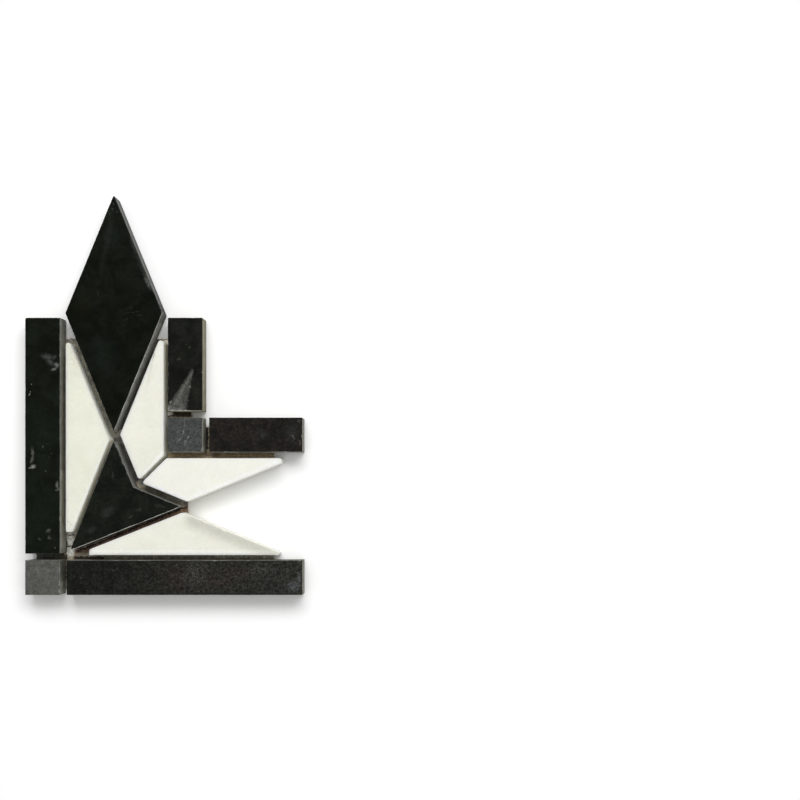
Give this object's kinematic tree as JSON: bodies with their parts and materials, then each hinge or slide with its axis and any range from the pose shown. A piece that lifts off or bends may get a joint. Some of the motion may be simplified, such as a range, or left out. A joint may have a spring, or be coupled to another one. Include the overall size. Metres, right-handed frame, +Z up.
{
  "type": "marble mosaic border corner",
  "caption": "Mesh-mounted marble mosaic corner for a tile border: black bars and squares around a band of black rhombi and white triangles.",
  "frame": {"origin": "middle of the footprint at the underside of the mesh, on the ground", "axes": "+Z up through the polished face, +Y along the arm that ends in the rhombus, +X along the arm that ends in the open notch"},
  "size_m": [0.118, 0.1698, 0.0108],
  "materials": {
    "black_marble": "polished",
    "grey_marble": "honed",
    "white_marble": "polished",
    "mesh_backing": "matte"
  },
  "bodies": {
    "root": {"outer_bar_vertical": "black_marble", "outer_bar_horizontal": "black_marble", "inner_bar_vertical": "black_marble", "inner_bar_horizontal": "black_marble", "outer_corner_square": "grey_marble", "inner_corner_square": "grey_marble", "rhombus": "black_marble", "corner_dart": "black_marble", "white_outer_vertical": "white_marble", "white_outer_horizontal": "white_marble", "white_inner_vertical": "white_marble", "white_inner_horizontal": "white_marble", "mesh_backing": "mesh_backing"}
  },
  "joints": []
}
